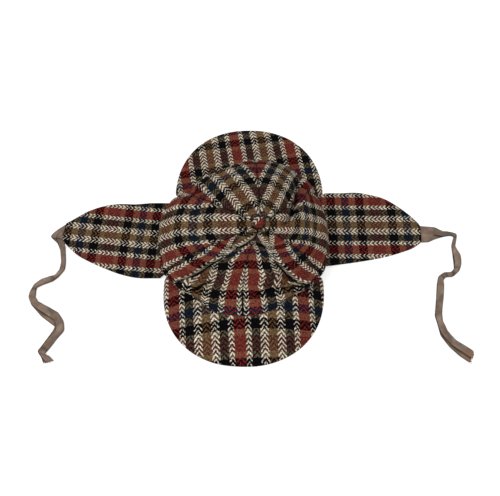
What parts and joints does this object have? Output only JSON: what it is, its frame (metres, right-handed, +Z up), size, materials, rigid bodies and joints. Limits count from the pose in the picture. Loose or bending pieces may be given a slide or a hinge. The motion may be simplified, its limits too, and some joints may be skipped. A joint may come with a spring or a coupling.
{
  "type": "deerstalker hat",
  "caption": "Tweed deerstalker hat lying on a table: soft gored crown with a covered button, front and back peaks, ear flaps spread flat, a ribbon at the end of each flap.",
  "frame": {"origin": "middle of the whole hat, seen from above, at the height of the table that it lies on", "axes": "+Z up; the front peak points to -Y, the back peak to +Y, the hat's ear flaps and ribbons to -X and +X"},
  "size_m": [0.505, 0.3252, 0.0933],
  "materials": {
    "tweed": "woolly, matt, herringbone check in cream, black, rust, gold and navy",
    "ribbon": "flat ribbed tape, soft sheen, taupe"
  },
  "bodies": {
    "root": {"crown_front_right": "tweed", "crown_right": "tweed", "crown_back_right": "tweed", "crown_back_left": "tweed", "crown_left": "tweed", "crown_front_left": "tweed", "crown_button": "tweed", "front_peak": "tweed", "back_peak": "tweed", "left_ear_flap": "tweed", "right_ear_flap": "tweed", "left_ribbon": "ribbon", "right_ribbon": "ribbon"}
  },
  "joints": []
}
